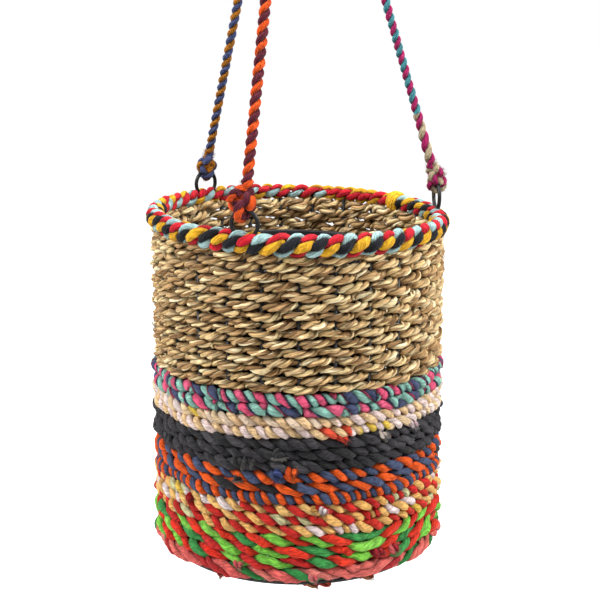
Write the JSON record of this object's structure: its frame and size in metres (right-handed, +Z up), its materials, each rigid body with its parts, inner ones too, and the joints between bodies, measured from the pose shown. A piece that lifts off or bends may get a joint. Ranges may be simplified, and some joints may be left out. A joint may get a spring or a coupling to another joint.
{
  "type": "hanging planter",
  "caption": "Woven rope basket on a wire frame, hung from a ring by ropes tied to eyes on its rim, with a lift-out plastic pot inside.",
  "frame": {"origin": "where the hanging ring rests on its hook: the inside of the ring's top, on the planter's upright axis", "axes": "+Z up along the planter's axis, -Y towards the front of the picture, +X to the right"},
  "size_m": [0.2002, 0.2006, 0.5927],
  "materials": {
    "black_wire": "black powder-coated wire, half gloss",
    "pot_plastic": "thin black moulded plastic",
    "seagrass": "two-ply twisted dried grass, dry and fibrous",
    "rim_cloth": "twisted strips of light blue, black, yellow and red cotton",
    "wrap_cloth": "yellow cotton strip",
    "pink_teal_cloth": "twisted strips of pink, teal and navy cotton",
    "cream_cloth": "twisted strips of cream and pale pink cotton",
    "black_cloth": "twisted strips of black cotton with frayed edges",
    "orange_navy_cloth": "twisted strips of orange and navy cotton",
    "peach_red_cloth": "twisted strips of peach, red, pale pink and olive cotton",
    "green_red_cloth": "twisted strips of light green, dark green and red cotton",
    "coral_cloth": "twisted strips of coral, dark green and crimson cotton",
    "base_cloth": "twisted strips of red and orange cotton",
    "front_rope_cloth": "orange and maroon two-ply cotton rope",
    "right_rope_cloth": "teal blue and magenta two-ply cotton rope",
    "left_rope_cloth": "ochre and slate blue two-ply cotton rope",
    "knot_cloth": "the hanging ropes' cotton, tied and bound"
  },
  "bodies": {
    "hanger": {"hanging_ring": "black_wire"},
    "loop": {"hanging_loop": "left_rope_cloth"},
    "planter": {"top_knot": "knot_cloth", "hanging_rope_front": "front_rope_cloth", "hanging_rope_right": "right_rope_cloth", "hanging_rope_left": "left_rope_cloth", "rope_knot_front": "front_rope_cloth", "rope_knot_right": "right_rope_cloth", "rope_knot_left": "left_rope_cloth", "eye_ring_front": "black_wire", "eye_ring_right": "black_wire", "eye_ring_left": "black_wire", "rim_rope": "rim_cloth", "rim_wrap": "wrap_cloth", "top_hoop": "black_wire", "seagrass_rope": "seagrass", "pink_teal_rope": "pink_teal_cloth", "cream_rope": "cream_cloth", "black_rope": "black_cloth", "orange_navy_rope": "orange_navy_cloth", "peach_red_rope": "peach_red_cloth", "green_red_rope": "green_red_cloth", "coral_rope": "coral_cloth", "base_hoop": "black_wire", "base_spokes": "black_wire", "base_mat": "base_cloth", "stake_01": "black_wire", "stake_02": "black_wire", "stake_03": "black_wire", "stake_04": "black_wire", "stake_05": "black_wire", "stake_06": "black_wire", "stake_07": "black_wire", "stake_08": "black_wire", "stake_09": "black_wire", "stake_10": "black_wire", "stake_11": "black_wire", "stake_12": "black_wire", "stake_13": "black_wire", "stake_14": "black_wire", "stake_15": "black_wire", "stake_16": "black_wire", "stake_17": "black_wire", "stake_18": "black_wire", "stake_19": "black_wire", "stake_20": "black_wire", "stake_21": "black_wire", "stake_22": "black_wire", "stake_23": "black_wire", "stake_24": "black_wire", "stake_25": "black_wire"},
    "pot": {"plant_pot": "pot_plastic"}
  },
  "joints": [
    {"name": "swing", "type": "hinge", "parent": "hanger", "child": "loop", "pos_m": [0, 0, -0.03], "axis": [1, 0, 0], "range_deg": [-25, 25]},
    {"name": "turn", "type": "hinge", "parent": "loop", "child": "planter", "pos_m": [0, 0, -0.049], "axis": [0, 0, 1], "range_deg": [-45, 45]},
    {"name": "pot_lift", "type": "slide", "parent": "planter", "child": "pot", "axis": [0, 0, 1], "range_m": [0, 0.08]}
  ]
}
